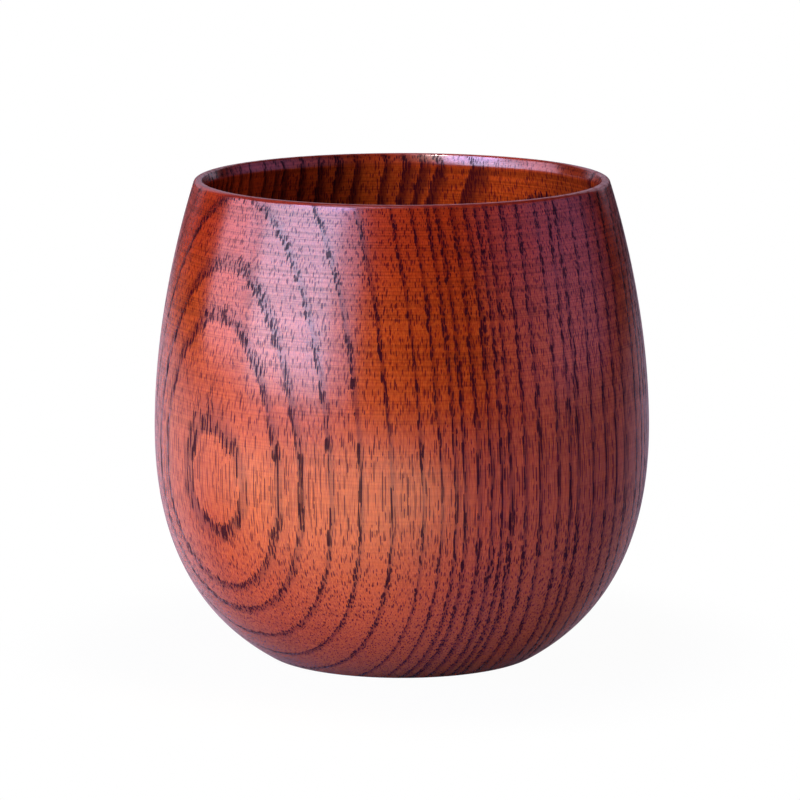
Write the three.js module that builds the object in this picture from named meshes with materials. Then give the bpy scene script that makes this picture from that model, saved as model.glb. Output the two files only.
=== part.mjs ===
// A handleless wooden cup, turned on a lathe from one billet whose grain runs up the axis.
// Millimetres, +Z up. The origin is the centre of the foot, on the surface that the cup stands on.
// The whole cup is one solid of revolution: its half section is drawn as the path of the turning
// tool, from the middle of the underside, up the outside, over the lip and down to the bowl's floor.
import * as THREE from "three";

// The outside: diameters and heights
const HEIGHT = 77.2;
const BELLY_DIAMETER = 80; // where the cup is widest
const BELLY_HEIGHT = 36.5; // of the widest place, above the foot
const MOUTH_DIAMETER = 66.6; // over the lip's outer corner, before it is rounded
const FOOT_DIAMETER = 44; // over the foot's outer corner, before it is rounded
const MOUTH_LEAN = 17.5; // degrees off upright at which the outside reaches the lip
const FOOT_FLARE = 30.5; // degrees above level at which the outside leaves the foot

// The wall, which thickens from the lip down to the floor
const LIP_THICKNESS = 1.75; // at the foot of its eased inner face
const BELLY_WALL = 3.5;
const FLOOR_THICKNESS = 6;

// The lip's inner face, eased back so that the edge is thin to drink from
const LIP_EASE_DEPTH = 1.75; // how far down the inside it reaches
const LIP_EASE_LEAN = 18; // degrees off upright

// The underside: a foot ring round a shallow turned recess
const FOOT_RING_WIDTH = 5;
const RECESS_DEPTH = 1.2;

// Rounded edges
const LIP_OUTER_ROUND = 0.7;
const LIP_INNER_ROUND = 0.35;
const LIP_EASE_ROUND = 2; // where the eased face meets the bowl
const FOOT_ROUND = 0.8;
const RING_INNER_ROUND = 0.4;
const RECESS_COVE = 0.7;

// How far each curve keeps its end's direction, as a share of the stretch that it spans
const SHOULDER_PULL = 0.38; // above the belly
const LIP_PULL = 0.25; // below the lip
const FLANK_PULL = 0.615; // below the belly, outside
const FOOT_PULL = 0.5; // above the foot
const BOWL_WALL_PULL = 0.66; // below the belly, inside
const BOWL_FLOOR_PULL = 0.7; // out from the middle of the bowl's floor

// Facets
const TURN_SEGMENTS = 72;
const SHOULDER_STEPS = 8;
const FLANK_STEPS = 11;
const ROUND_STEPS = 4;

// The finish: stained red-brown under a clear lacquer
const WOOD_COLOUR = 0xa9552b;
const LACQUER_ROUGHNESS = 0.35;

const OUTWARDS = new THREE.Vector2(1, 0);
const INWARDS = new THREE.Vector2(-1, 0);
const DOWN = new THREE.Vector2(0, -1);

const at = (radius, height) => new THREE.Vector2(radius, height);

// The point that lies some distance from another, along a unit direction.
const along = (from, direction, distance) => from.clone().addScaledVector(direction, distance);

// A unit direction in the half section, by its angle above the outward level.
function heading(degrees) {
  const angle = THREE.MathUtils.degToRad(degrees);
  return at(Math.cos(angle), Math.sin(angle));
}

// The points of an arc that rounds a corner, touching the side that arrives there and the one that leaves.
function roundedCorner(corner, arriving, leaving, radius) {
  const sense = Math.sign(arriving.cross(leaving)); // 1 where the path turns left
  const turn = Math.acos(arriving.dot(leaving));
  const start = along(corner, arriving, -radius * Math.tan(turn / 2));
  const centre = along(start, at(-arriving.y, arriving.x), sense * radius);
  const angle = start.clone().sub(centre).angle();
  const arc = new THREE.ArcCurve(centre.x, centre.y, radius, angle, angle + sense * turn, sense < 0);
  return arc.getPoints(ROUND_STEPS);
}

// The inner points of a curve that leaves one point and reaches another along given unit directions.
function sweep(start, leaving, startPull, end, arriving, endPull, steps) {
  const startHandle = along(start, leaving, startPull);
  const endHandle = along(end, arriving, -endPull);
  return new THREE.CubicBezierCurve(start, startHandle, endHandle, end).getPoints(steps).slice(1, -1);
}

// Half of the cup's section, as radius and height.
function halfSection() {
  const belly = at(BELLY_DIAMETER / 2, BELLY_HEIGHT);
  const bowlBelly = at(belly.x - BELLY_WALL, BELLY_HEIGHT);
  const footCorner = at(FOOT_DIAMETER / 2, 0);
  const recessRadius = footCorner.x - FOOT_RING_WIDTH;
  const lipCorner = at(MOUTH_DIAMETER / 2, HEIGHT);
  const easeCorner = at(lipCorner.x - LIP_THICKNESS, HEIGHT - LIP_EASE_DEPTH);
  const easeInset = LIP_EASE_DEPTH * Math.tan(THREE.MathUtils.degToRad(LIP_EASE_LEAN));
  const lipInnerCorner = at(easeCorner.x + easeInset, HEIGHT);
  const floorMiddle = at(0, FLOOR_THICKNESS);

  const rise = HEIGHT - BELLY_HEIGHT;
  const up = heading(90);
  const offFoot = heading(FOOT_FLARE);
  const ontoLip = heading(90 + MOUTH_LEAN);
  // The inside leans less than the outside, in step with how far each draws in from the belly.
  const bowlLean = (MOUTH_LEAN * (bowlBelly.x - easeCorner.x)) / (belly.x - lipCorner.x);
  const downEase = heading(-90 - LIP_EASE_LEAN);
  const intoBowl = heading(bowlLean - 90);

  const recess = [
    at(0, RECESS_DEPTH),
    ...roundedCorner(at(recessRadius, RECESS_DEPTH), OUTWARDS, DOWN, RECESS_COVE),
    ...roundedCorner(at(recessRadius, 0), DOWN, OUTWARDS, RING_INNER_ROUND),
  ];
  const foot = roundedCorner(footCorner, OUTWARDS, offFoot, FOOT_ROUND);
  const outerLip = roundedCorner(lipCorner, ontoLip, INWARDS, LIP_OUTER_ROUND);
  const innerLip = [
    ...roundedCorner(lipInnerCorner, INWARDS, downEase, LIP_INNER_ROUND),
    ...roundedCorner(easeCorner, downEase, intoBowl, LIP_EASE_ROUND),
  ];

  const footPull = FOOT_PULL * (belly.x - footCorner.x);
  const flank = sweep(foot.at(-1), offFoot, footPull, belly, up, FLANK_PULL * BELLY_HEIGHT, FLANK_STEPS);
  const shoulder = sweep(
    belly, up, SHOULDER_PULL * rise, outerLip[0], ontoLip, LIP_PULL * rise, SHOULDER_STEPS,
  );
  const bowlShoulder = sweep(
    innerLip.at(-1), intoBowl, LIP_PULL * rise, bowlBelly, DOWN, SHOULDER_PULL * rise, SHOULDER_STEPS,
  );
  const bowlWallPull = BOWL_WALL_PULL * (BELLY_HEIGHT - FLOOR_THICKNESS);
  const bowlFloorPull = BOWL_FLOOR_PULL * bowlBelly.x;
  const bowl = sweep(bowlBelly, DOWN, bowlWallPull, floorMiddle, INWARDS, bowlFloorPull, FLANK_STEPS);

  const outside = [...foot, ...flank, belly, ...shoulder, ...outerLip];
  const inside = [...innerLip, ...bowlShoulder, bowlBelly, ...bowl, floorMiddle];
  return [...recess, ...outside, ...inside];
}

// The cup, turned about its axis and stood upright.
function turnedCup() {
  const geometry = new THREE.LatheGeometry(halfSection(), TURN_SEGMENTS);
  geometry.rotateX(Math.PI / 2);
  const material = new THREE.MeshStandardMaterial({
    color: WOOD_COLOUR,
    roughness: LACQUER_ROUGHNESS,
    metalness: 0,
  });
  const cup = new THREE.Mesh(geometry, material);
  cup.name = "cup_body";
  return cup;
}

const cup = new THREE.Group();
cup.add(turnedCup());

export default cup;
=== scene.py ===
# %% [markdown]
# # A turned wooden cup
#
# The object is a handleless cup, turned on a lathe from one billet of ring-porous wood, stained red-brown
# and lacquered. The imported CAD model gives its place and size. This lesson makes the part that the eye
# judges: a smooth turned surface, the wood's growth rings and pores, the lacquer, and a photographer's
# table to see it on.

# %% Load the frame
import bpy
import numpy as np
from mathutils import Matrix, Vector


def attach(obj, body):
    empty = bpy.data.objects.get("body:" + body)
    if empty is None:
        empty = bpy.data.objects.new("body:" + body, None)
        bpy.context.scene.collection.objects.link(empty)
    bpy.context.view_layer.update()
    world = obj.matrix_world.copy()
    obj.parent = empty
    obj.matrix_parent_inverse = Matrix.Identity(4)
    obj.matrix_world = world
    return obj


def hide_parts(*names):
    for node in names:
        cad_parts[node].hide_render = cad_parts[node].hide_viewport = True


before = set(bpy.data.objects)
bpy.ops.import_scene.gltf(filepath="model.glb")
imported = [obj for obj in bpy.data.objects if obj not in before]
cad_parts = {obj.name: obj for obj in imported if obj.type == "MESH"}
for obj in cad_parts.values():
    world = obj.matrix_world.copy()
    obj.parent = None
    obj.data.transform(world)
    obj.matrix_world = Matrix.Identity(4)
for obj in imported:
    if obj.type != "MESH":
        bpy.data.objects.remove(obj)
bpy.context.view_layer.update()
MM = 0.001  # the scene is in metres; sizes of the cup are written in millimetres

# %% [markdown]
# ## Where the photographer stood
#
# The camera looks along +Y and a little down. A long lens far away and a short one close by can frame a
# cup alike, but they show its mouth differently open, so the angle is set by the mouth's ellipse and the
# focal length by the cup's size in the picture.

# %% Camera
PHOTO_SIZE = 800  # pixels, both ways
FOCAL_PIXELS = 4943  # focal length, in pixels of the photograph
AXIS_PIXEL = 401.85  # column on which the cup's axis stands
VIEW_ELEVATION = np.radians(9.925)
VIEW_DISTANCE = 0.8
AIM_HEIGHT = 0.04103  # of the point on the axis that lies on the picture's middle row
SENSOR_WIDTH = 36

camera = bpy.data.objects.new("photo_camera", bpy.data.cameras.new("photo_camera"))
camera.data.sensor_width = SENSOR_WIDTH
camera.data.lens = FOCAL_PIXELS / PHOTO_SIZE * SENSOR_WIDTH
sideways = (PHOTO_SIZE / 2 - AXIS_PIXEL) * VIEW_DISTANCE / FOCAL_PIXELS
back = VIEW_DISTANCE * np.cos(VIEW_ELEVATION)
camera.location = (sideways, -back, AIM_HEIGHT + VIEW_DISTANCE * np.sin(VIEW_ELEVATION))
camera.rotation_euler = (np.pi / 2 - VIEW_ELEVATION, 0, 0)
bpy.context.scene.collection.objects.link(camera)
bpy.context.scene.camera = camera
print("lens", round(camera.data.lens, 1), "mm")

# %% [markdown]
# ## The section that the turner cuts
#
# A turned shape is one curve carried round an axis. The curve could be traced point by point, but a turner
# thinks in a few sizes: how wide the belly is, how far the lip leans in, how thick the wall is. Cubic
# curves between those places give a fair line with nothing to smooth afterwards, and arcs break the edges
# as sandpaper does. The sizes are the CAD model's own.

# %% Sizes of the section, in millimetres and degrees
HEIGHT = 77.2
BELLY_RADIUS = 40
BELLY_HEIGHT = 36.5
MOUTH_RADIUS = 33.3  # at the lip's outer corner, before it is rounded
FOOT_RADIUS = 22
MOUTH_LEAN = 17.5  # off upright
FOOT_FLARE = 30.5  # above level
LIP_THICKNESS = 1.75  # at the foot of its eased inner face
LIP_EASE_DEPTH, LIP_EASE_LEAN = 1.75, 18  # how far down that face reaches, and how far off upright it leans
BELLY_WALL = 3.5
FLOOR_THICKNESS = 6
FOOT_RING_WIDTH = 5
RECESS_DEPTH = 1.2
LIP_OUTER_ROUND = 0.7
LIP_INNER_ROUND = 0.35
LIP_EASE_ROUND = 2
FOOT_ROUND = 0.8
RING_INNER_ROUND = 0.4
RECESS_COVE = 0.7
SHOULDER_PULL, LIP_PULL = 0.38, 0.25  # how far a curve keeps its end's direction
FLANK_PULL, FOOT_PULL = 0.615, 0.5
BOWL_WALL_PULL, BOWL_FLOOR_PULL = 0.66, 0.7
WALL_STEPS, ROUND_STEPS, FLAT_STEPS = 56, 8, 12
OUTWARDS, INWARDS, DOWN, UP = np.array([[1, 0], [-1, 0], [0, -1], [0, 1]])
print("cup", 2 * BELLY_RADIUS, "mm wide and", HEIGHT, "mm high")


# %% Curves of the section
def heading(degrees):
    """The unit direction at an angle above level: its cosine outwards and its sine upwards."""
    return np.array([np.cos(np.radians(degrees)), np.sin(np.radians(degrees))])


def sweep(start, leaving, start_pull, end, arriving, end_pull):
    """A cubic Bezier curve. Its two handles lie start_pull ahead of the start and end_pull short of the end,
    and each point is the four of them weighted by (1-t)^3, 3(1-t)^2 t, 3(1-t) t^2 and t^3."""
    t = np.linspace(0, 1, WALL_STEPS + 1)[:, None]
    ahead, short = start + start_pull * leaving, end - end_pull * arriving
    return (1 - t) ** 3 * start + 3 * (1 - t) ** 2 * t * ahead + 3 * (1 - t) * t**2 * short + t**3 * end


def rounded_corner(corner, arriving, leaving, radius):
    """An arc that touches both sides of a corner. It begins radius * tan(turn / 2) before the corner, and its
    points are the centre plus the first spoke, turned in equal steps to the side that leaves."""
    across = np.array([-arriving[1], arriving[0]])
    turn = np.arctan2(leaving @ across, leaving @ arriving)
    begin = corner - arriving * radius * np.tan(abs(turn) / 2)
    spoke = -across * radius * np.sign(turn)
    angle = np.linspace(0, turn, ROUND_STEPS + 1)[:, None]
    quarter = np.array([-spoke[1], spoke[0]])
    return begin - spoke + np.cos(angle) * spoke + np.sin(angle) * quarter


def straight(start, end):
    """Evenly spaced points from start to end."""
    return start + np.linspace(0, 1, FLAT_STEPS + 1)[:, None] * (np.asarray(end) - start)


unit_corner = rounded_corner(np.zeros(2), OUTWARDS, UP, 1)
print("a square corner rounded by 1 ends at", np.round(unit_corner[-1], 2))

# %% Corners and directions of the half section
belly = np.array([BELLY_RADIUS, BELLY_HEIGHT])
bowl_belly = belly - [BELLY_WALL, 0]
foot_corner = np.array([FOOT_RADIUS, 0])
recess_corner = np.array([FOOT_RADIUS - FOOT_RING_WIDTH, 0])
lip_corner = np.array([MOUTH_RADIUS, HEIGHT])
ease_corner = lip_corner - [LIP_THICKNESS, LIP_EASE_DEPTH]
lip_inner_corner = ease_corner + [LIP_EASE_DEPTH * np.tan(np.radians(LIP_EASE_LEAN)), LIP_EASE_DEPTH]
rise = HEIGHT - BELLY_HEIGHT
off_foot, onto_lip = heading(FOOT_FLARE), heading(90 + MOUTH_LEAN)
bowl_lean = MOUTH_LEAN * (bowl_belly[0] - ease_corner[0]) / (belly[0] - lip_corner[0])
down_ease, into_bowl = heading(-90 - LIP_EASE_LEAN), heading(bowl_lean - 90)
print("the bowl leans in by", round(bowl_lean, 1), "degrees at the lip")

# %% The half section, from the middle of the underside, up the outside and down to the bowl's floor
SAME_POINT = 1e-6  # mm: neighbours in the section share their end points

cove = rounded_corner(recess_corner + [0, RECESS_DEPTH], OUTWARDS, DOWN, RECESS_COVE)
ring_edge = rounded_corner(recess_corner, DOWN, OUTWARDS, RING_INNER_ROUND)
foot = rounded_corner(foot_corner, OUTWARDS, off_foot, FOOT_ROUND)
outer_lip = rounded_corner(lip_corner, onto_lip, INWARDS, LIP_OUTER_ROUND)
inner_lip = rounded_corner(lip_inner_corner, INWARDS, down_ease, LIP_INNER_ROUND)
lip_foot = rounded_corner(ease_corner, down_ease, into_bowl, LIP_EASE_ROUND)
foot_pull = FOOT_PULL * (belly[0] - foot_corner[0])
flank = sweep(foot[-1], off_foot, foot_pull, belly, UP, FLANK_PULL * BELLY_HEIGHT)
shoulder = sweep(belly, UP, SHOULDER_PULL * rise, outer_lip[0], onto_lip, LIP_PULL * rise)
bowl_shoulder = sweep(lip_foot[-1], into_bowl, LIP_PULL * rise, bowl_belly, DOWN, SHOULDER_PULL * rise)
floor_middle = np.array([0, FLOOR_THICKNESS])
bowl_wall_pull = BOWL_WALL_PULL * (BELLY_HEIGHT - FLOOR_THICKNESS)
bowl = sweep(bowl_belly, DOWN, bowl_wall_pull, floor_middle, INWARDS, BOWL_FLOOR_PULL * bowl_belly[0])
underside = straight(np.array([0, RECESS_DEPTH]), cove[0])

outside = [underside, cove, ring_edge, foot, flank, shoulder, outer_lip]
section = np.concatenate([*outside, inner_lip, lip_foot, bowl_shoulder, bowl])
apart = np.linalg.norm(np.diff(section, axis=0), axis=1) > SAME_POINT
section = section[np.concatenate([[True], apart])]
print("section:", len(section), "points, widest", round(2 * section[:, 0].max(), 2), "mm")

# %% [markdown]
# ## Turning the section into a surface
#
# The surface is a grid of two parameters: the place along the section and the angle round the axis. The
# section's ends lie on the axis, so each becomes one point, with a fan of triangles round it, and the
# seam closes because the last column of faces goes back to the first column of points.

# %% The turned surface
TURN_STEPS = 240
SEAM = np.pi / 2  # the columns start at the back


def turned(name, section, steps):
    """A closed surface of revolution. Point (i, j) is the section's point i, turned by j steps about Z:
    (radius cos, radius sin, height). Rows go along the section and columns round the axis."""
    angle = SEAM + np.arange(steps) * 2 * np.pi / steps
    radius, height = section[1:-1, :1], section[1:-1, 1:]
    grid = np.stack(np.broadcast_arrays(radius * np.cos(angle), radius * np.sin(angle), height), axis=-1)
    poles = np.array([[0, 0, section[0, 1]], [0, 0, section[-1, 1]]])
    points = np.concatenate([grid.reshape(-1, 3), poles]) * MM
    here = np.arange(grid[..., 0].size).reshape(len(grid), steps)
    after = np.roll(here, -1, axis=1)
    quads = np.stack([here[:-1], after[:-1], after[1:], here[1:]], axis=-1).reshape(-1, 4)
    first, last = np.full(steps, len(points) - 2), np.full(steps, len(points) - 1)
    fans = np.concatenate([np.stack([first, after[0], here[0]], 1), np.stack([here[-1], after[-1], last], 1)])
    mesh = bpy.data.meshes.new(name)
    mesh.from_pydata(points.tolist(), [], quads.tolist() + fans.tolist())
    mesh.polygons.foreach_set("use_smooth", np.ones(len(mesh.polygons), bool))
    piece = bpy.data.objects.new(name, mesh)
    bpy.context.scene.collection.objects.link(piece)
    return piece


cup = turned("turned_cup", section, TURN_STEPS)
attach(cup, "root")
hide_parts("cup_body")
print("cup:", len(cup.data.vertices), "points,", len(cup.data.polygons), "faces")

# %% [markdown]
# ## Two measures on the surface
#
# Two things on the cup follow the section and not the wood: the marks of the turning tool, and the flat
# map that a texture needs. The tool's marks want to know how far along the section a point lies, in
# millimetres, so that is kept at every point. The map unrolls the cup like a label: the angle goes
# across, the way along the section goes up, and the one seam lies at the back.

# %% Way along the section, and the flat map
steps_along = np.linalg.norm(np.diff(section, axis=0), axis=1)
along = np.concatenate([[0], np.cumsum(steps_along)])
along_rows = np.repeat(along[1:-1], TURN_STEPS)
point_along = np.concatenate([along_rows, along[[0, -1]]])
cup.data.attributes.new("along_section", "FLOAT", "POINT").data.foreach_set("value", point_along)

corner_point = np.empty(len(cup.data.loops), int)
cup.data.loops.foreach_get("vertex_index", corner_point)
corner_face = np.repeat(np.arange(len(cup.data.polygons)), [face.loop_total for face in cup.data.polygons])
face_column = np.arange(len(cup.data.polygons)) % TURN_STEPS
is_pole = corner_point >= len(along_rows)
column = np.where(is_pole, face_column[corner_face] + 0.5, corner_point % TURN_STEPS)
wraps = (face_column[corner_face] == TURN_STEPS - 1) & (column == 0)
flat = np.stack([(column + TURN_STEPS * wraps) / TURN_STEPS, point_along[corner_point] / along[-1]], axis=1)
cup.data.uv_layers.new(name="OFBake").data.foreach_set("uv", flat.ravel())
print("way along the section:", round(along[-1], 1), "mm")

# %% [markdown]
# ## Sums with sockets
#
# A wood pattern is mostly arithmetic, and a node tree hides arithmetic well. This small class wraps an
# output socket, so that `age / width` or `1 - mask` reads as a sum and adds its Math nodes by itself. All
# other nodes come from one method, which sets a node up and then fills its sockets.


# %% A shader value
class Signal:
    """One output socket. Arithmetic on it adds Math nodes to its tree."""

    def __init__(self, socket):
        self.socket = socket
        self.tree = socket.id_data

    @staticmethod
    def node(tree, kind, settings=None, inputs=None):
        """Adds a node and returns its outputs by identifier. Settings go in first. An input is found by its
        number or identifier, and takes a number, a colour, a vector or another signal."""
        made = tree.nodes.new("ShaderNode" + kind)
        for name, value in (settings or {}).items():
            if name == "points":
                draw_curve(made.mapping, value)
            else:
                setattr(made, name, value)
        sockets = {socket.identifier: socket for socket in made.inputs}
        for key, value in (inputs or {}).items():
            socket = made.inputs[key] if isinstance(key, int) else sockets[key]
            if isinstance(value, Signal):
                tree.links.new(value.socket, socket)
            else:
                socket.default_value = value
        return {output.identifier: Signal(output) for output in made.outputs}

    def math(self, operation, *values):
        """A Math node of these values."""
        return Signal.node(self.tree, "Math", {"operation": operation}, dict(enumerate(values)))["Value"]

    def vector(self, operation, other):
        """A Vector Math node of this vector and another."""
        return Signal.node(self.tree, "VectorMath", {"operation": operation}, {0: self, 1: other})

    def __add__(self, other):
        return self.math("ADD", self, other)

    def __sub__(self, other):
        return self.math("SUBTRACT", self, other)

    def __rsub__(self, other):
        return self.math("SUBTRACT", other, self)

    def __mul__(self, other):
        return self.math("MULTIPLY", self, other)

    def __truediv__(self, other):
        return self.math("DIVIDE", self, other)

    __radd__ = __add__
    __rmul__ = __mul__


print("a Signal takes part in sums")


# %% Curves, smooth steps, blends and noise
def draw_curve(mapping, points):
    """Straight lines from point to point of a Float Curve node, both ways from 0 to 1."""
    curve = mapping.curves[0]
    curve.points[0].location, curve.points[1].location = points[0], points[-1]
    for place, value in points[1:-1]:
        curve.points.new(place, value)
    for point in curve.points:
        point.handle_type = "VECTOR"
    mapping.update()


def ease(signal, low, high, at_low=0.0, at_high=1.0):
    """A smooth step from one value to another as a signal goes from low to high."""
    settings = {"interpolation_type": "SMOOTHSTEP"}
    inputs = {"Value": signal, "From Min": low, "From Max": high, "To Min": at_low, "To Max": at_high}
    return Signal.node(signal.tree, "MapRange", settings, inputs)["Result"]


def blend(factor, first, second, mode="MIX"):
    """A Mix node of two colours."""
    settings = {"data_type": "RGBA", "blend_type": mode}
    inputs = {"Factor_Float": factor, "A_Color": first, "B_Color": second}
    return Signal.node(factor.tree, "Mix", settings, inputs)["Result_Color"]


def noise(coordinates, detail=2.0):
    """A Noise texture with features about one unit apart, about 0.5 in the middle."""
    settings = {"noise_dimensions": "3D"}
    inputs = {"Vector": coordinates, "Scale": 1.0, "Detail": detail}
    return Signal.node(coordinates.tree, "TexNoise", settings, inputs)


print("shader helpers ready")

# %% [markdown]
# ## Where the tree's centre was
#
# The billet was split from beside the heart of the tree. Growth rings are cylinders round that heart, so
# on the side of the cup that faces it the rings close into long ovals, and on the other side they run as
# upright stripes. One line for the heart, slightly leaning and bent, about 200 mm from the cup's axis, gives
# the whole figure, inside and out, with no seam: the wood is cut, not painted.

# %% Grain coordinates
wood = bpy.data.materials.new("lacquered_wood")
wood.use_nodes = True
tree = wood.node_tree
tree.nodes.clear()

HEART_DISTANCE = 200  # mm, from the cup's axis
HEART_AZIMUTH = np.radians(-48.8)  # from the side that faces the camera, to the right
HEART_LEAN = (-0.476, -2.08)  # mm that the heart moves in X and Y over SPAN upwards
HEART_BEND = 0.708  # mm that it bends towards the cup over the same span
MIDDLE, SPAN = 36, 40  # mm: the height at which lean and bend are nil, and their unit
WANDER = 0.45  # mm over which the rings stray sideways
WANDER_CELL = (9, 24)  # mm between the bends, across the grain and along it


def grain_noise(coordinates, cell, detail=2.0):
    """Noise whose features are cell[0] mm apart across the grain and cell[1] mm along it."""
    wide, tall = cell
    return noise(coordinates.vector("DIVIDE", (wide, wide, tall))["Vector"], detail)


def stray(coordinates, cell, width):
    """A sideways shift by noise, which is centred on nil and spans the width in mm."""
    centred = grain_noise(coordinates, cell)["Color"].vector("SUBTRACT", (0.5, 0.5, 0.5))["Vector"]
    return centred.vector("MULTIPLY", (width, width, 0))["Vector"]


toward = np.array([np.sin(HEART_AZIMUTH), -np.cos(HEART_AZIMUTH)])
place = Signal.node(tree, "TexCoord")["Object"].vector("MULTIPLY", (1 / MM, 1 / MM, 1 / MM))["Vector"]
place_xyz = Signal.node(tree, "SeparateXYZ", inputs={0: place})
height = (place_xyz["Z"] - MIDDLE) / SPAN
bend = height * height * HEART_BEND
heart_x = HEART_DISTANCE * toward[0] + height * HEART_LEAN[0] - bend * toward[0]
heart_y = HEART_DISTANCE * toward[1] + height * HEART_LEAN[1] - bend * toward[1]
straight_grain = {0: place_xyz["X"] - heart_x, 1: place_xyz["Y"] - heart_y, 2: place_xyz["Z"]}
grain = Signal.node(tree, "CombineXYZ", inputs=straight_grain)["Vector"]
grain = grain.vector("ADD", stray(place, WANDER_CELL, WANDER))["Vector"]
print("heart of the tree at", np.round(HEART_DISTANCE * toward, 1), "mm from the cup's axis")

# %% [markdown]
# ## A row of years
#
# Some years were wet and some dry, so the rings differ in width. A regular wave would look like
# wallpaper. The widths below are read off the cup's side, from the oval outwards; the last ones
# lie on the far side. A Float Curve turns the distance from the heart into a count of years: its whole
# part is the ring, and its fraction, times the ring's width, says how long ago that ring began. A good
# spring makes a thick row of vessels and a poor one a thin row, so the rows differ as well. Under the small
# oval the grain swells a little, as it does over a hidden twig, and that makes the oval rounder.

# %% Years
FIRST_RING = 160.10  # mm from the heart to the first ring that the cup cuts
# Widths of the rings in mm, from the heart outwards
RING_WIDTHS = [2.55, 1.8, 3.1, 3.4, 3.7, 4.2, 2.6, 2.1, 1.3, 2.2, 2.1, 1.7, 1.4, 2.7, 2.6, 3.6, 2.4, 1.6]
RING_WIDTHS += [3.5, 3.1, 2.8, 2.74, 3.9, 2.25, 1.7, 1.45, 2.95, 3.75, 3.95, 3.1]
WIDEST_RING = 5  # mm, more than any of them, so that widths fit a curve from 0 to 1
INNER_RING = 3.0  # the ring before the first one
EARLY_ROW, LATE_ROW = 1.2, 1.7  # how thick the spring row is in the early rings and in the late ones
LATE_RING = 10  # the first of the late ones
OVAL_CENTRE = (-28.3, -28.2, 32.3)  # mm
OVAL_SWELLING, OVAL_REACH = 0.72, 12  # mm: how far the grain is lifted there, and how far around

widths = np.array([INNER_RING, *RING_WIDTHS])
edges = np.concatenate([[0], np.cumsum(widths)])
reach = edges[-1]
count_points = [(edge / reach, i / len(widths)) for i, edge in enumerate(edges)]
middles = (edges[:-1] + edges[1:]) / 2 / reach
shares = widths / WIDEST_RING
width_points = [(0, shares[0]), *zip(middles, shares), (1, shares[-1])]
row_widths = np.where(np.arange(len(edges)) < LATE_RING, EARLY_ROW, LATE_ROW)
row_points = list(zip(edges / reach, row_widths / LATE_ROW))
print(len(widths), "rings over", round(reach, 1), "mm")

# %% Age of the wood at a place
from_oval = place.vector("DISTANCE", OVAL_CENTRE)["Value"]
swelling = ease(from_oval, 0, OVAL_REACH, OVAL_SWELLING, 0.0)


def ring_age(grain):
    """Millimetres of growth since the ring at this place began: the fraction of the count of years, times
    the width of the rings about there. It is divided by how thick the ring's spring row is, so that one
    rule serves thin rows and thick ones."""
    across = grain.vector("MULTIPLY", (1, 1, 0))["Vector"].vector("LENGTH", (0, 0, 0))["Value"]
    share = (across - swelling - (FIRST_RING - INNER_RING)) / reach
    years = Signal.node(tree, "FloatCurve", {"points": count_points}, {"Value": share})["Value"]
    width = Signal.node(tree, "FloatCurve", {"points": width_points}, {"Value": share})["Value"]
    row = Signal.node(tree, "FloatCurve", {"points": row_points}, {"Value": share})["Value"]
    count = years * len(widths)
    return count.math("FRACT", count) * width * WIDEST_RING / (row * LATE_ROW)


age = ring_age(grain)
print("age of the wood:", len(tree.nodes), "nodes so far")

# %% [markdown]
# ## Pores
#
# Each spring this kind of tree makes a crowded row of wide vessels, and afterwards only fine scattered
# ones. Vessels are long tubes that run up the trunk. Where the wall is upright the cut lays them open as
# long dashes, where it leans the dashes are short, and where the bottom curves under they are dots.
# Painting dashes would have to know all that. Cells of a Voronoi texture that looks only across the grain
# are tubes already, and the surface cuts them to the right length by itself. The age of the ring at a
# tube's own centre says how wide the tube is. Old vessels are stopped up here and there, so each tube gets
# a noise of its own along its length, which breaks it into dashes.

# %% Vessels
TUBE_WANDER = 0.16  # mm over which a single vessel strays sideways
TUBE_WANDER_CELL = (1.5, 14)  # mm, across the grain and along it
LINES_APART = 40  # so far apart in the noise that two vessels have nothing in common
PORE_EDGE = 0.07  # half the width of a vessel's soft edge, in cells

tubes = grain.vector("ADD", stray(grain, TUBE_WANDER_CELL, TUBE_WANDER))["Vector"]


def vessels(cell, shift, dash, radius_of):
    """A mask of vessels, one in each Voronoi cell of this size in mm. A vessel is where the distance to the
    cell's centre, in cells, is less than radius_of(age of the ring at the centre, chance, run). The chance is
    the cell's own, and the run is noise along the vessel with features dash mm apart."""
    cells = tubes.vector("ADD", shift)["Vector"].vector("DIVIDE", (cell, cell, cell))["Vector"]
    settings = {"voronoi_dimensions": "2D", "feature": "F1"}
    found = Signal.node(tree, "TexVoronoi", settings, {"Vector": cells, "Scale": 1.0})
    centre = found["Position"].vector("MULTIPLY", (cell, cell, cell))["Vector"].vector("SUBTRACT", shift)
    chances = Signal.node(tree, "SeparateColor", inputs={0: found["Color"]})
    own_line = {0: chances["Green"] * LINES_APART, 1: chances["Blue"] * LINES_APART, 2: place_xyz["Z"] / dash}
    run = noise(Signal.node(tree, "CombineXYZ", inputs=own_line)["Vector"], detail=1.0)["Fac"]
    inside = radius_of(ring_age(centre["Vector"]), chances["Red"], run) - found["Distance"]
    return ease(inside, -PORE_EDGE, PORE_EDGE)


print("vessels stray over", TUBE_WANDER, "mm")

# %% Wide vessels of spring
SPRING_CELL = 0.28  # mm from vessel to vessel
SPRING_SHIFT = (3.1, 7.7, 0)  # mm, so that spring and summer don't share their cells
SPRING_DASH = 4.0  # mm between the places where a vessel is stopped up
PATCH_CELL = (1.6, 8)  # mm, across the grain and along it
SWELL = 1.2  # mm over which the row's end strays from patch to patch
ROW_END = (0.18, 0.7)  # mm of growth between which the row thins out
SPRING_WIDTH = 0.62  # radius of a vessel in cells, before chance
LEAST_SHARE, CHANCE_SHARE = 0.6, 0.55  # of that radius, in every vessel and by chance
SPRING_STOPS = (0.41, 0.49)  # levels of the run between which a vessel opens
STOPPED_SHARE = 0.2  # of the radius, where a vessel is stopped up

patches = grain_noise(grain, PATCH_CELL)["Fac"]
row_stray = (patches - 0.5) * SWELL


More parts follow.
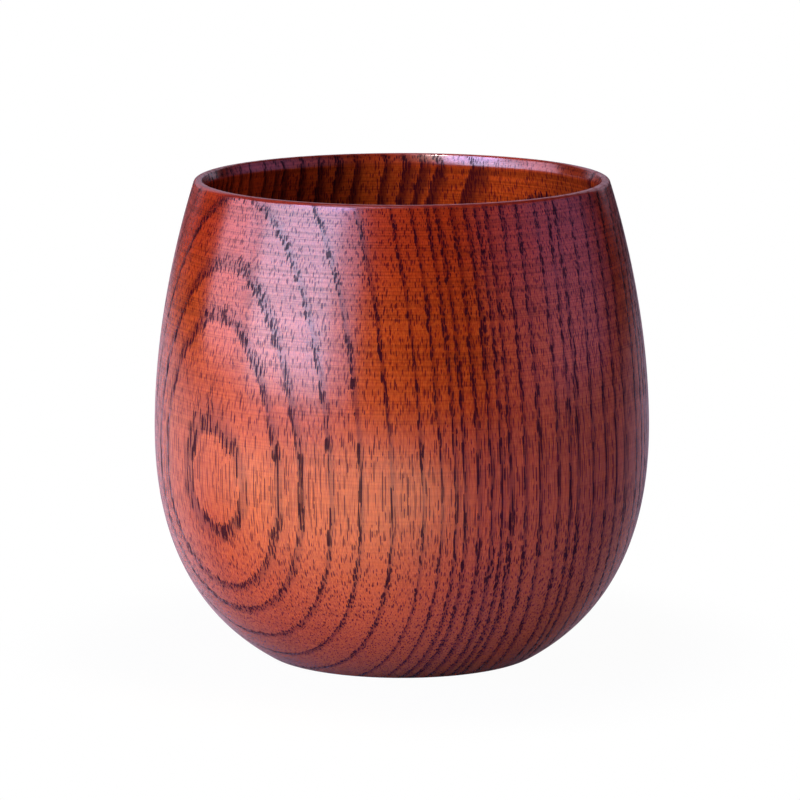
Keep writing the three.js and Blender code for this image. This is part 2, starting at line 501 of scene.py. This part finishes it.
def spring_radius(age, chance, run):
    """Wide and crowded in the ring's first quarter millimetre, then none. The row is thicker in some patches
    than in others, and every vessel is stopped up here and there."""
    crowd = ease(age - row_stray, *ROW_END, SPRING_WIDTH, 0.0)
    return crowd * (LEAST_SHARE + CHANCE_SHARE * chance) * ease(run, *SPRING_STOPS, STOPPED_SHARE, 1.0)


spring_pores = vessels(SPRING_CELL, SPRING_SHIFT, SPRING_DASH, spring_radius)
print("spring vessels every", SPRING_CELL, "mm")

# %% Fine vessels of summer
SUMMER_CELL = 0.34  # mm from vessel to vessel
SUMMER_SHIFT = (11.9, 2.3, 0)  # mm
SUMMER_DASH = 2.4  # mm between the places where a vessel is stopped up
LOOSE_ROW_CELL = (0.9, 30)  # mm, across the grain and along it
FINE_RADII = (0.17, 0.35)  # in cells, from the least to the most
HALF_OF_CELLS = 0.5  # the chance from which on a vessel has its full radius
LOOSE_ROWS, BETWEEN_ROWS = (0.36, 0.56), 0.7  # levels of the rows' noise, and the radius left between rows
SUMMER_STOPS = (0.42, 0.5)  # levels of the run between which a vessel opens

rows = grain_noise(grain, LOOSE_ROW_CELL, detail=1.0)["Fac"]


def summer_radius(age, chance, run):
    """Fine vessels at any age of the ring, in loose rows, each broken into dashes."""
    own_radius = ease(chance, 0.0, HALF_OF_CELLS, *FINE_RADII)
    return own_radius * ease(rows, *LOOSE_ROWS, BETWEEN_ROWS, 1.0) * ease(run, *SUMMER_STOPS)


summer_pores = vessels(SUMMER_CELL, SUMMER_SHIFT, SUMMER_DASH, summer_radius)
print("summer vessels every", SUMMER_CELL, "mm")

# %% [markdown]
# ## The colour of the wood
#
# Under the stain the wood is a warm orange, redder and darker where the spring wood drinks it in, with
# fine streaks along the fibres. Broad soft patches keep a large area from looking printed. The stain
# gathers in the vessels: nearly black in the wide ones, a deep wine red in the fine ones.

# %% Wood colours
LIGHT_WOOD = (0.64, 0.118, 0.009, 1)
DEEP_WOOD = (0.36, 0.045, 0.004, 1)
SPRING_WOOD = (0.22, 0.021, 0.004, 1)
SUMMER_STAIN = (0.11, 0.007, 0.008, 1)
SPRING_STAIN = (0.03, 0.003, 0.009, 1)
SPRING_WOOD_SHARE, SUMMER_STAIN_SHARE, SPRING_STAIN_SHARE = 0.7, 0.9, 0.95
FIBRE_CELL, CLOUD_CELL = (0.16, 2.5), (14, 30)  # mm, across the grain and along it
FIBRE_SHARE, CLOUD_SHARE = 0.65, 0.35  # of the tone
TONE_SPAN = (0.33, 0.67)  # from the lightest to the deepest
SPRING_RISE, SPRING_FALL = (0.0, 0.12), (0.2, 0.8)  # mm of growth

fibres = grain_noise(grain, FIBRE_CELL)["Fac"]
clouds = grain_noise(grain, CLOUD_CELL)["Fac"]
tone = ease(fibres * FIBRE_SHARE + clouds * CLOUD_SHARE, *TONE_SPAN)
wood_colour = blend(tone, LIGHT_WOOD, DEEP_WOOD)
spring = ease(age, *SPRING_RISE) * ease(age, *SPRING_FALL, 1.0, 0.0)
wood_colour = blend(spring * SPRING_WOOD_SHARE, wood_colour, SPRING_WOOD)
wood_colour = blend(summer_pores * SUMMER_STAIN_SHARE, wood_colour, SUMMER_STAIN)
wood_colour = blend(spring_pores * SPRING_STAIN_SHARE, wood_colour, SPRING_STAIN)
print("wood colours:", len(tree.nodes), "nodes so far")

# %% [markdown]
# ## Marks of the tool
#
# The turning tool left tiny grooves round the cup. They catch some stain, so they show as faint lines even
# where nothing bright is mirrored, and more so near the lip than low on the flank, where sanding took them
# off. A wave would be too regular. Noise that changes fast along the section and hardly at all round the
# cup looks like the real marks.

# %% Tool marks
GROOVE_PITCH = 0.3  # mm along the section
GROOVE_REACH = 30  # mm round the cup before a groove gives way to another
GROOVE_SPAN = (0.35, 0.7)  # levels of the noise, from no groove to a full one
GROOVE_STAIN = 0.4  # how much a groove darkens the wood
SANDING = (-10, 30)  # mm from the belly, between which the grooves come up to their full depth
SANDED_SHARE = 0.35  # of that depth, low on the flank
BLACK = (0, 0, 0, 1)

way = Signal.node(tree, "Attribute", {"attribute_name": "along_section"})["Fac"]
round_cup = place_xyz["X"] / GROOVE_REACH, place_xyz["Y"] / GROOVE_REACH
tool_cells = {0: round_cup[0], 1: round_cup[1], 2: way / GROOVE_PITCH}
tool_place = Signal.node(tree, "CombineXYZ", inputs=tool_cells)["Vector"]
belly_way = along[section[:, 0].argmax()]
sharpness = ease(way - belly_way, *SANDING, SANDED_SHARE, 1.0)
grooves = ease(noise(tool_place)["Fac"], *GROOVE_SPAN) * sharpness
wood_colour = blend(grooves * GROOVE_STAIN, wood_colour, BLACK)
print("tool marks every", GROOVE_PITCH, "mm")

# %% [markdown]
# ## Painted light and shade in the bowl and at the lip
#
# The bowl is painted golden where the outside is red: painted light, for the lamp light that reaches its
# far wall. The spring rows are broad dark bars there. Outside, the wood is painted darker towards the lip:
# painted shade, for the top of the cup, which gets less light than the belly. The lip's own edge gets a thin
# lighter colour: a painted highlight, where the rounded edge catches the light. The way along the section
# tells all these places apart, as what comes after the lip's top is inside.

# %% Painted light in the bowl, painted shade and highlight at the lip
# Painted shade: the wood's colour is darker towards the lip, because the top of the cup gets less light
UPPER_PAINTED_SHADE = (0.80, 0.48, 0.8, 1)  # factors on the wood's colour, near the lip and in the bowl
# Painted light: the bowl's colour is lighter and more golden, for the light that reaches its far wall
BOWL_PAINTED_LIGHT = (1.25, 1.05, 1.5, 1)
# Painted highlight: a lighter colour on the lip's edge, where the rounded edge catches the light
LIP_PAINTED_HIGHLIGHT, LIP_HIGHLIGHT_SHARE = (0.56, 0.06, 0.03, 1), 0.6
BAR_STAIN, BAR_SHARE = (0.07, 0.007, 0.006, 1), 0.65
BAR_RISE, BAR_FALL = (0.0, 0.15), (0.4, 1.2)  # mm of growth
BOWL_BEGINS = (1, 4)  # mm past the lip's top, from none to full
UPPER_SHADE_BEGINS = (-24, -4)
EDGE_BEGINS, EDGE_ENDS = (-1.0, -0.4), (0.4, 1.0)

lip_way = along[section[:, 1].argmax()]
past_lip = way - lip_way
in_bowl = ease(past_lip, *BOWL_BEGINS)
bars = ease(age, *BAR_RISE) * ease(age - row_stray, *BAR_FALL, 1.0, 0.0)
# painted shade: the outside's colour darkens towards the lip
painted_upper_shade = ease(past_lip, *UPPER_SHADE_BEGINS) * (1 - in_bowl)
at_lip = ease(past_lip, *EDGE_BEGINS) * ease(past_lip, *EDGE_ENDS, 1.0, 0.0)
wood_colour = blend(painted_upper_shade, wood_colour, UPPER_PAINTED_SHADE, "MULTIPLY")
# painted light: the bowl's colour is lightened
wood_colour = blend(in_bowl, wood_colour, BOWL_PAINTED_LIGHT, "MULTIPLY")
wood_colour = blend(in_bowl * bars * BAR_SHARE, wood_colour, BAR_STAIN)
# painted highlight on the lip's edge
wood_colour = blend(at_lip * LIP_HIGHLIGHT_SHARE, wood_colour, LIP_PAINTED_HIGHLIGHT)
print("lip", round(lip_way, 1), "mm along the section")

# %% [markdown]
# ## Lacquer
#
# Clear lacquer is a second surface over the wood: it mirrors the room, and the wood's colour shows through
# it. A shader's coat does just that. The film sinks into the vessels and leaves hardly any gloss there, so
# a pore stays dark in the middle of the sheen, where a coat of even weight would turn it grey. A high index
# makes the sheen strong without strong lamps.

# %% Lacquer
WOOD_ROUGHNESS = 0.6
LACQUER_ROUGHNESS = 0.2
LACQUER_IOR = 2.2
GROOVE_DEPTH = 0.005  # mm
PORE_DEPTH = 0.010  # mm
SPRING_LOSS, SUMMER_LOSS, GROOVE_LOSS, EDGE_LOSS = 0.78, 0.5, 0.25, 0.3  # of the film, where each one is

relief = (1 - grooves) * GROOVE_DEPTH - spring_pores * PORE_DEPTH
surface = Signal.node(tree, "Bump", inputs={"Strength": 1.0, "Distance": MM, "Height": relief})["Normal"]
film = (1 - spring_pores * SPRING_LOSS) * (1 - summer_pores * SUMMER_LOSS)
film = film * (1 - grooves * GROOVE_LOSS) * (1 - at_lip * EDGE_LOSS)
bare_wood = {"Base Color": wood_colour, "Roughness": WOOD_ROUGHNESS, "Specular IOR Level": 0.0}
bare_wood["Normal"] = surface
lacquer = {"Coat Weight": film, "Coat Roughness": LACQUER_ROUGHNESS, "Coat IOR": LACQUER_IOR}
shader = Signal.node(tree, "BsdfPrincipled", inputs={**bare_wood, **lacquer})["BSDF"]
Signal.node(tree, "OutputMaterial", inputs={"Surface": shader})
cup.data.materials.append(wood)
print("lacquer:", len(tree.nodes), "nodes in the wood's tree")

# %% [markdown]
# ## Table and backdrop
#
# The cup stands on a white table that sweeps up into a white wall behind it. To the camera both are plain
# white, whatever the lamps do, with a trace of shadow under the foot. The lacquer mirrors them too, but only
# what lies behind the cup: that makes the pale line at the cup's edges, which parts the wood from the
# background. All other light meets matt paper, darker and cooler where the lacquer mirrors it, and the
# table's own light falls on the cup from below.

# %% Sweep
SWEEP_HALF_WIDTH = 2.0  # metres, as all sizes of the stage
TABLE_FRONT, TABLE_BACK = -1.5, 1.6
BEND_RADIUS, WALL_HEIGHT = 0.5, 1.6
BEND_STEPS = 24


def sweep_sheet():
    """A profile carried along X: flat table, quarter circle, upright wall. The arc's points are its centre
    plus the radius times (sin, -cos)."""
    angle = np.linspace(0, np.pi / 2, BEND_STEPS)
    arc = np.stack([TABLE_BACK + BEND_RADIUS * np.sin(angle), BEND_RADIUS * (1 - np.cos(angle))], axis=1)
    line = np.concatenate([[[TABLE_FRONT, 0]], arc, [[TABLE_BACK + BEND_RADIUS, WALL_HEIGHT]]])
    sides = np.array([-SWEEP_HALF_WIDTH, SWEEP_HALF_WIDTH])
    grid = np.stack(np.broadcast_arrays(sides, line[:, :1], line[:, 1:]), axis=-1)
    here = np.arange(2 * len(line)).reshape(-1, 2)
    faces = np.stack([here[:-1, 0], here[:-1, 1], here[1:, 1], here[1:, 0]], axis=1)
    mesh = bpy.data.meshes.new("white_sweep")
    mesh.from_pydata(grid.reshape(-1, 3).tolist(), [], faces.tolist())
    mesh.polygons.foreach_set("use_smooth", np.ones(len(faces), bool))
    return bpy.data.objects.new("white_sweep", mesh)


white_sweep = sweep_sheet()
bpy.context.scene.collection.objects.link(white_sweep)
print("sweep:", len(white_sweep.data.polygons), "faces")

# %% What of the paper lies behind the cup
WEDGE_FRONT, WEDGE_TURN = 0.06, 0.25  # metres before the axis, and metres back for each one to the right
WEDGE_SLOPES = (0.2, 1.5)  # way back over way sideways, from no glow to the full one
TABLE_GLOW_BEGINS, TABLE_GLOW_FADES = (-0.03, 0.02), (0.3, 1.0)  # metres behind the axis
FAR_SHARE, RIGHT_SHARE = 0.15, 0.4  # of the table's glow, far back and to the right
LEFT_TO_RIGHT = (-0.02, 0.02)
WALL_SLOPE, WALL_EDGE, WALL_FOOT = 1.2, (0.0, 0.1), (0.1, 0.3)
ON_AXIS = 0.001  # keeps the slope finite there

paper = bpy.data.materials.new("white_paper")
paper.use_nodes = True
paper_tree = paper.node_tree
paper_tree.nodes.clear()
spot = Signal.node(paper_tree, "TexCoord")["Object"]
spot_xyz = Signal.node(paper_tree, "SeparateXYZ", inputs={0: spot})
side = spot_xyz["X"].math("ABSOLUTE", spot_xyz["X"])
slant = (spot_xyz["Y"] + WEDGE_FRONT - WEDGE_TURN * spot_xyz["X"]) / (side + ON_AXIS)
not_far = ease(spot_xyz["Y"], *TABLE_GLOW_FADES, 1.0, FAR_SHARE)
right_dims = ease(spot_xyz["X"], *LEFT_TO_RIGHT, 1.0, RIGHT_SHARE)
near_floor = ease(slant, *WEDGE_SLOPES) * ease(spot_xyz["Y"], *TABLE_GLOW_BEGINS) * not_far * right_dims
wall = ease(spot_xyz["Y"] - WALL_SLOPE * side, *WALL_EDGE) * ease(spot_xyz["Z"], *WALL_FOOT)
behind = near_floor.math("MAXIMUM", near_floor, wall)
print("mask of the paper:", len(paper_tree.nodes), "nodes")

# %% Paper
WHITE = (1, 1, 1, 1)
PAPER_WHITE, MIRRORED_PAPER = (0.8, 0.8, 0.8, 1), (0.37, 0.40, 0.49, 1)
GLOW_TINT, GLOW_SHARE = (0.85, 0.75, 1, 1), 0.75  # of the paper in mirrors
FOOT_SHADE = (0.04, 0.07)  # metres from the middle, between which the shadow under the foot fades
SHADE_SHARE = 0.03  # of matt paper that the camera sees there

rays = Signal.node(paper_tree, "LightPath")
away = ease(spot.vector("LENGTH", (0, 0, 0))["Value"], *FOOT_SHADE)
mirrored = rays["Is Glossy Ray"].math("MAXIMUM", rays["Is Glossy Ray"], rays["Is Transmission Ray"])
seen_share = rays["Is Camera Ray"] * (1 - SHADE_SHARE + away * SHADE_SHARE)
white_share = seen_share + mirrored * behind * GLOW_SHARE
paper_colour = blend(mirrored, PAPER_WHITE, MIRRORED_PAPER)
matt_paper = {"Base Color": paper_colour, "Roughness": 1.0, "Specular IOR Level": 0.0}
matt = Signal.node(paper_tree, "BsdfPrincipled", inputs=matt_paper)["BSDF"]
glow_colour = blend(rays["Is Camera Ray"], GLOW_TINT, WHITE)
glow = Signal.node(paper_tree, "Emission", inputs={"Color": glow_colour, "Strength": 1.0})["Emission"]
lit = Signal.node(paper_tree, "MixShader", inputs={0: white_share, 1: matt, 2: glow})["Shader"]
Signal.node(paper_tree, "OutputMaterial", inputs={"Surface": lit})
white_sweep.data.materials.append(paper)
print("paper:", len(paper_tree.nodes), "nodes")

# %% [markdown]
# ## Light
#
# A large cool softbox on the left, with a wider diffuser before it, makes the broad lilac sheen and its soft
# edge. Weak cards on the right lay a thin veil over the shadow side, and a fill lamp lights the wood there
# without being mirrored, as a lamp with crossed polarisers does. Two snooted spots light the table before
# the cup and beside it, and the table lights the cup from below. A small one reaches into the bowl. Nothing
# stands behind the camera, which is why the front of the cup stays deep and saturated.


# %% Lamps
def softbox(name, azimuth, elevation, distance, width, height, power, colour):
    """A rectangular lamp that faces the cup, at an angle from the camera's side and above the table."""
    lamp = bpy.data.lights.new(name, "AREA")
    lamp.shape = "RECTANGLE"
    lamp.size, lamp.size_y = width, height
    lamp.energy, lamp.color = power, colour
    box = bpy.data.objects.new(name, lamp)
    a, e = np.radians(azimuth), np.radians(elevation)
    box.location = distance * np.array([np.sin(a) * np.cos(e), -np.cos(a) * np.cos(e), np.sin(e)])
    box.rotation_euler = (np.pi / 2 - e, 0, a)
    bpy.context.scene.collection.objects.link(box)
    return box


def snooted(name, place, aim, reach, edge, power, colour):
    """A spot lamp at a place in metres that lights a disc of radius reach round the point that it is aimed
    at. The cone's half angle is the angle whose tangent is reach over the distance."""
    lamp = bpy.data.lights.new(name, "SPOT")
    lamp.energy, lamp.color = power, colour
    ray = Vector(aim) - Vector(place)
    lamp.spot_size, lamp.spot_blend = 2 * np.arctan2(reach, ray.length), edge
    spot = bpy.data.objects.new(name, lamp)
    spot.location = place
    spot.rotation_euler = ray.to_track_quat("-Z", "Y").to_euler()
    bpy.context.scene.collection.objects.link(spot)


print("lamp helpers ready")

# %% Lamps round the cup
VEIL_COLOUR, VEIL_ELEVATION, VEIL_HEIGHT = (1.0, 0.37, 0.85), 20, 0.6
# Azimuth, distance, width and power of the cards on the right
VEIL_CARDS = {
    "right_card": (100, 0.9, 0.90, 0.25),
    "right_middle_card": (85.5, 0.89, 1.00, 0.27),
    "right_wide_card": (75, 0.88, 1.17, 0.30),
}

# Azimuth and elevation in degrees, distance, width and height in metres, power in watts, colour
softbox("left_softbox", -56, 17.7, 0.9, 0.68, 0.44, 2.35, (0.54, 0.66, 1.0))
softbox("left_diffuser", -55, 17.7, 0.88, 1.08, 0.44, 2.3, (0.54, 0.60, 1.0))
softbox("softbox_side", -95.9, 17.7, 0.9, 0.35, 0.44, 1.1, (1.0, 0.56, 0.8))
softbox("upper_softbox", -47, 36, 0.9, 0.5, 0.12, 1.9, (0.62, 0.52, 1.0))
softbox("top_light", -40, 62, 0.9, 0.5, 0.5, 1.5, (0.65, 0.68, 1.0))
for name, (azimuth, distance, width, power) in VEIL_CARDS.items():
    softbox(name, azimuth, VEIL_ELEVATION, distance, width, VEIL_HEIGHT, power, VEIL_COLOUR)
fill = softbox("right_fill", 85, 4, 0.9, 0.6, 0.3, 1.15, (1.0, 0.68, 0.5))
fill.visible_glossy = False
print("lamps round the cup:", len(bpy.data.lights))

# %% Spots
POOL_LAMP_HEIGHT, POOL_EDGE = 1.2, 0.6
# Place on the table, radius, power and colour of each pool of light
POOLS = {
    "table_spot": ((-0.12, -0.21), 0.215, 190.0, (1.0, 0.53, 0.24)),
    "side_table_spot": ((-0.3, 0.05), 0.22, 105.0, (1.0, 0.58, 0.38)),
}
BOWL_LAMP, BOWL_AIM = (-0.28, -0.6, 0.67), (0.010, 0.028, 0.069)
BOWL_REACH, BOWL_EDGE = 0.02, 0.9

for name, (pool, radius, power, colour) in POOLS.items():
    snooted(name, (*pool, POOL_LAMP_HEIGHT), (*pool, 0), radius, POOL_EDGE, power, colour)
snooted("bowl_spot", BOWL_LAMP, BOWL_AIM, BOWL_REACH, BOWL_EDGE, 19.0, (1.0, 0.8, 0.75))
print("lamps:", [lamp.name for lamp in bpy.data.lights])

# %% Room
ROOM = 0.01  # the dim light of the rest of the room
world = bpy.data.worlds.new("studio")
bpy.context.scene.world = world
world.use_nodes = True
world_tree = world.node_tree
world_tree.nodes.clear()
rays = Signal.node(world_tree, "LightPath")
seen = rays["Is Camera Ray"].math("MAXIMUM", rays["Is Camera Ray"], rays["Is Transmission Ray"])
level = ROOM + seen * (1 - ROOM)
room = Signal.node(world_tree, "Background", inputs={"Color": WHITE, "Strength": level})["Background"]
Signal.node(world_tree, "OutputWorld", inputs={"Surface": room})
bpy.context.scene.view_settings.view_transform = "Standard"
print("room light:", ROOM)
